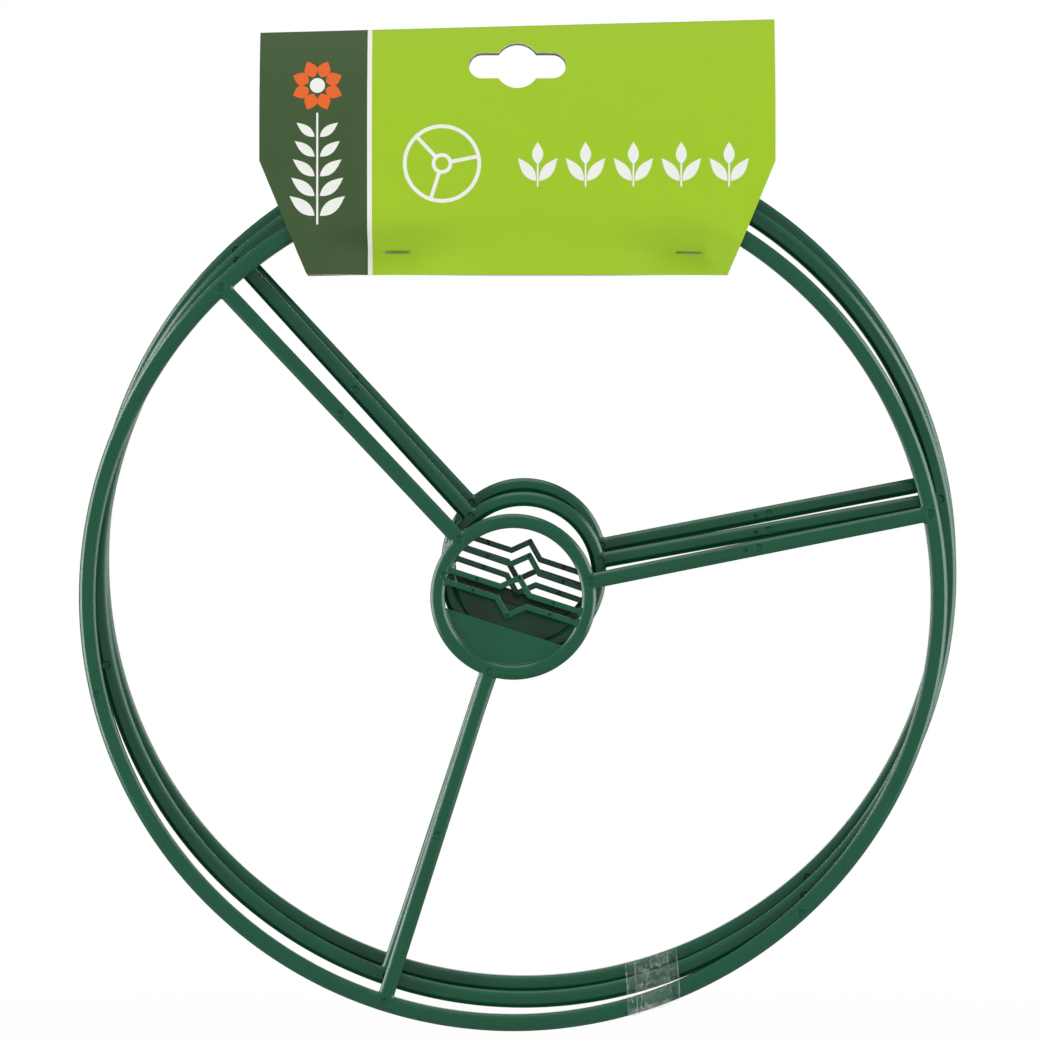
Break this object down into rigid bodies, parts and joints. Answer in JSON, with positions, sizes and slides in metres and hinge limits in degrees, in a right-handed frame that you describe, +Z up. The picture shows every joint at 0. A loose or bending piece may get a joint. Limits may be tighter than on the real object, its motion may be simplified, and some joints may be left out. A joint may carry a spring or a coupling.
{
  "type": "plant support ring set",
  "caption": "Round plastic plant support rings with spokes and a sprung stake clip in each hub, bundled with tape and hung from a folded, stapled header card.",
  "frame": {"origin": "centre of the header card's hang slot, midway between the two panels", "axes": "+Z up as the set hangs, -Y towards the viewer of the printed front, +X to the viewer's right"},
  "size_m": [0.3037, 0.0174, 0.3497],
  "materials": {
    "ring": "moulded dark green polypropylene",
    "card": "printed coated paperboard",
    "wire": "galvanised wire",
    "film": "clear adhesive film"
  },
  "bodies": {
    "card": {"header_card": "card", "staples": "wire"},
    "ring_stack": {"front_hoop": "ring", "front_hub": "ring", "front_web_plate": "ring", "front_right_spoke": "ring", "front_left_spoke": "ring", "front_lower_spoke": "ring", "middle_hoop": "ring", "middle_hub": "ring", "middle_web_plate": "ring", "middle_right_spoke": "ring", "middle_left_spoke": "ring", "middle_lower_spoke": "ring", "back_hoop": "ring", "back_hub": "ring", "back_web_plate": "ring", "back_right_spoke": "ring", "back_left_spoke": "ring", "back_lower_spoke": "ring", "tape": "film"},
    "front_upper_bar": {"front_upper_clip_bar": "ring"},
    "front_lower_bar": {"front_lower_clip_bar": "ring"},
    "middle_upper_bar": {"middle_upper_clip_bar": "ring"},
    "middle_lower_bar": {"middle_lower_clip_bar": "ring"},
    "back_upper_bar": {"back_upper_clip_bar": "ring"},
    "back_lower_bar": {"back_lower_clip_bar": "ring"}
  },
  "joints": [
    {"name": "stack_turn", "type": "hinge", "parent": "card", "child": "ring_stack", "pos_m": [0.002, 0, -0.1758], "axis": [0, -1, 0], "range_deg": [-3.5, 39]},
    {"name": "front_upper_bar_flex", "type": "slide", "parent": "ring_stack", "child": "front_upper_bar", "axis": [0.304, 0, 0.9527], "range_m": [0, 0.0031], "stiffness_N_per_m": 5000},
    {"name": "front_lower_bar_flex", "type": "slide", "parent": "ring_stack", "child": "front_lower_bar", "axis": [-0.304, 0, -0.9527], "range_m": [0, 0.0022], "stiffness_N_per_m": 5000},
    {"name": "middle_upper_bar_flex", "type": "slide", "parent": "ring_stack", "child": "middle_upper_bar", "axis": [0.3214, 0, 0.9469], "range_m": [0, 0.0031], "stiffness_N_per_m": 5000},
    {"name": "middle_lower_bar_flex", "type": "slide", "parent": "ring_stack", "child": "middle_lower_bar", "axis": [-0.3214, 0, -0.9469], "range_m": [0, 0.0022], "stiffness_N_per_m": 5000},
    {"name": "back_upper_bar_flex", "type": "slide", "parent": "ring_stack", "child": "back_upper_bar", "axis": [0.3115, 0, 0.9502], "range_m": [0, 0.0031], "stiffness_N_per_m": 5000},
    {"name": "back_lower_bar_flex", "type": "slide", "parent": "ring_stack", "child": "back_lower_bar", "axis": [-0.3115, 0, -0.9502], "range_m": [0, 0.0022], "stiffness_N_per_m": 5000}
  ]
}
